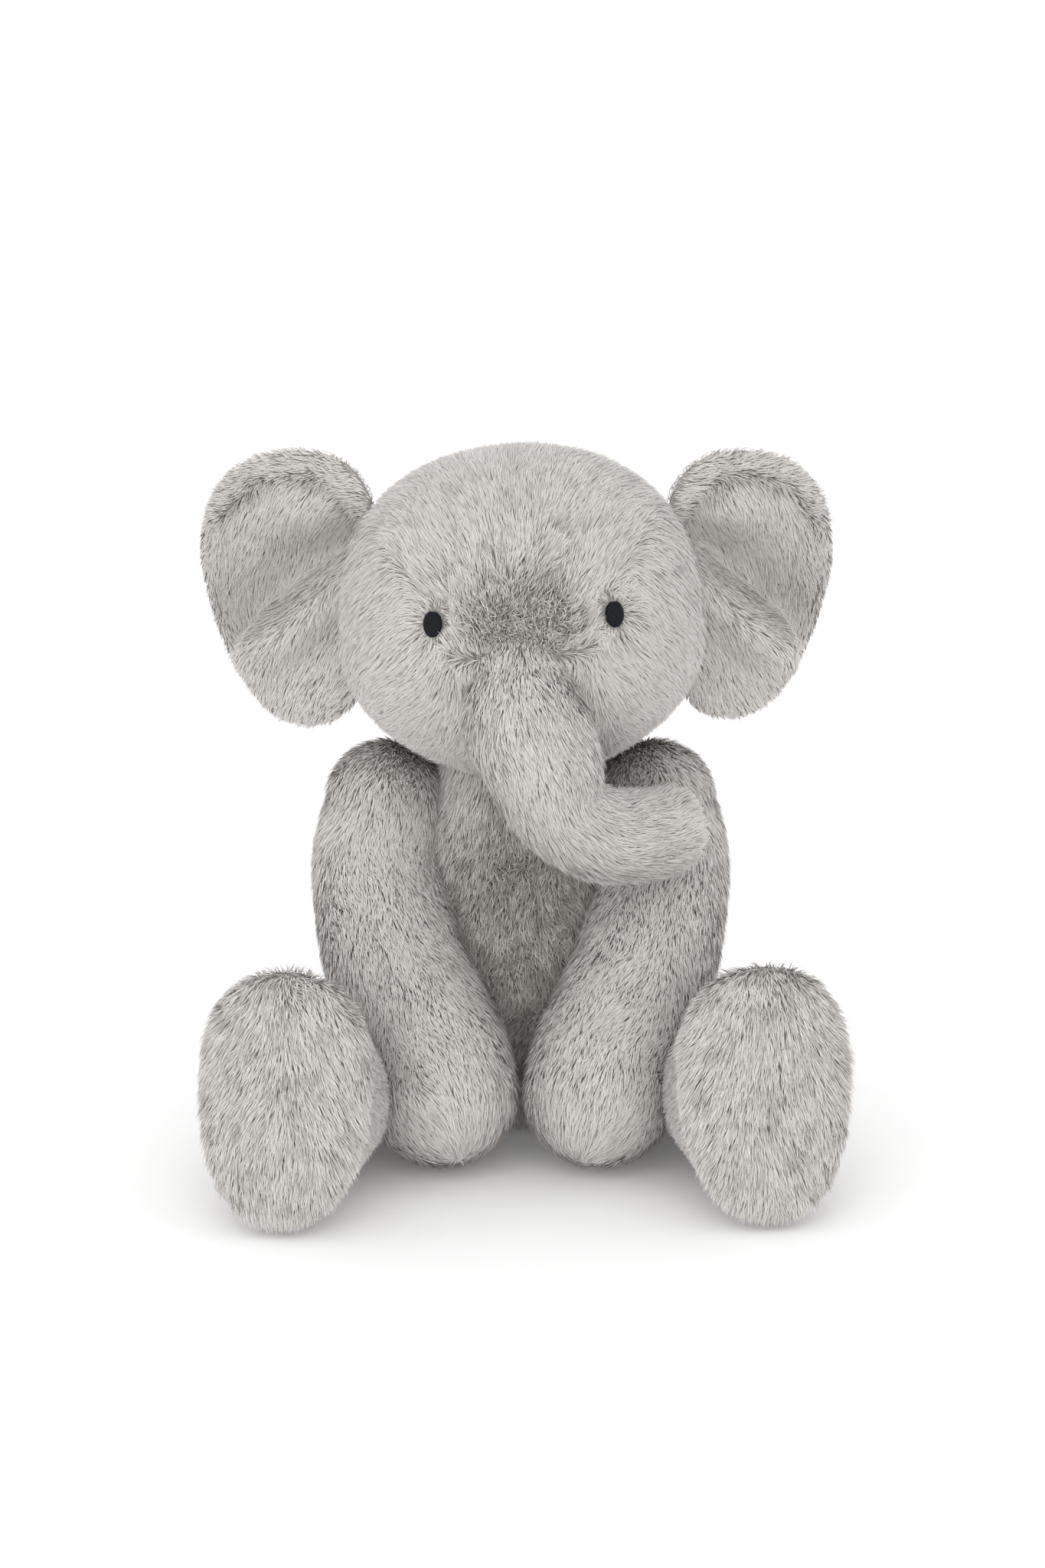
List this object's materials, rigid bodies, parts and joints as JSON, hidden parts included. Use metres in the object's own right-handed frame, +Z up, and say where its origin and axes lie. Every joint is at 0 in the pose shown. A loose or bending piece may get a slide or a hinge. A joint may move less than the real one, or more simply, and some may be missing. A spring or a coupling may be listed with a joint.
{
  "type": "plush elephant",
  "caption": "Seated stuffed elephant in short grey faux fur, with a curled trunk, cupped ears, long front limbs that meet at the paws and legs stretched forward",
  "frame": {"origin": "the middle of the flat seat that it rests on", "axes": "+Z up, -Y the way it faces, +X its own left"},
  "size_m": [0.2801, 0.265, 0.3035],
  "materials": {
    "fur": "matte",
    "stuffing": "matte",
    "bean_bag": "matte",
    "eye_thread": "satin",
    "label_tape": "satin"
  },
  "bodies": {
    "torso": {"torso_front_panel": "fur", "torso_back_panel": "fur", "seat_panel": "fur", "torso_stuffing": "stuffing", "seat_bean_bag": "bean_bag", "care_label": "label_tape"},
    "head": {"head_gusset": "fur", "left_cheek_panel": "fur", "right_cheek_panel": "fur", "head_stuffing": "stuffing", "left_eye": "eye_thread", "right_eye": "eye_thread"},
    "trunk": {"trunk_skin": "fur", "trunk_stuffing": "stuffing"},
    "left_ear": {"left_ear_front": "fur", "left_ear_back": "fur"},
    "right_ear": {"right_ear_front": "fur", "right_ear_back": "fur"},
    "left_arm": {"left_arm_skin": "fur", "left_arm_stuffing": "stuffing", "left_paw_bean_bag": "bean_bag"},
    "right_arm": {"right_arm_skin": "fur", "right_arm_stuffing": "stuffing", "right_paw_bean_bag": "bean_bag"},
    "left_leg": {"left_leg_skin": "fur", "left_sole_panel": "fur", "left_leg_stuffing": "stuffing", "left_foot_bean_bag": "bean_bag"},
    "right_leg": {"right_leg_skin": "fur", "right_sole_panel": "fur", "right_leg_stuffing": "stuffing", "right_foot_bean_bag": "bean_bag"},
    "tail": {"tail": "fur"}
  },
  "joints": [
    {"name": "head_tilt", "type": "hinge", "parent": "torso", "child": "head", "pos_m": [0, -0.02, 0.2305], "axis": [-1, 0, 0], "range_deg": [0, 18]},
    {"name": "trunk_lift", "type": "hinge", "parent": "head", "child": "trunk", "pos_m": [-0.001, -0.082, 0.217], "axis": [-1, 0, 0], "range_deg": [0, 40]},
    {"name": "left_ear_flap", "type": "hinge", "parent": "head", "child": "left_ear", "pos_m": [0.076, 0.003, 0.23], "axis": [0, 0, -1], "range_deg": [-20, 25]},
    {"name": "right_ear_flap", "type": "hinge", "parent": "head", "child": "right_ear", "pos_m": [-0.076, 0.003, 0.23], "axis": [0, 0, 1], "range_deg": [-20, 25]},
    {"name": "left_arm_lift", "type": "hinge", "parent": "torso", "child": "left_arm", "pos_m": [0.06, -0.006, 0.1425], "axis": [-1, 0, 0], "range_deg": [0, 32]},
    {"name": "right_arm_lift", "type": "hinge", "parent": "torso", "child": "right_arm", "pos_m": [-0.06, -0.006, 0.1425], "axis": [-1, 0, 0], "range_deg": [0, 45]},
    {"name": "left_leg_splay", "type": "hinge", "parent": "torso", "child": "left_leg", "pos_m": [0.07, -0.018, 0.0345], "axis": [0, 0, 1], "range_deg": [0, 30]},
    {"name": "right_leg_splay", "type": "hinge", "parent": "torso", "child": "right_leg", "pos_m": [-0.07, -0.018, 0.0345], "axis": [0, 0, -1], "range_deg": [0, 30]},
    {"name": "tail_swing", "type": "hinge", "parent": "torso", "child": "tail", "pos_m": [0, 0.064, 0.056], "axis": [0, 1, 0], "range_deg": [-35, 35]}
  ],
  "couplings": [
    {"joint": "trunk_lift", "follows": "left_arm_lift", "ratio": 1.25}
  ]
}
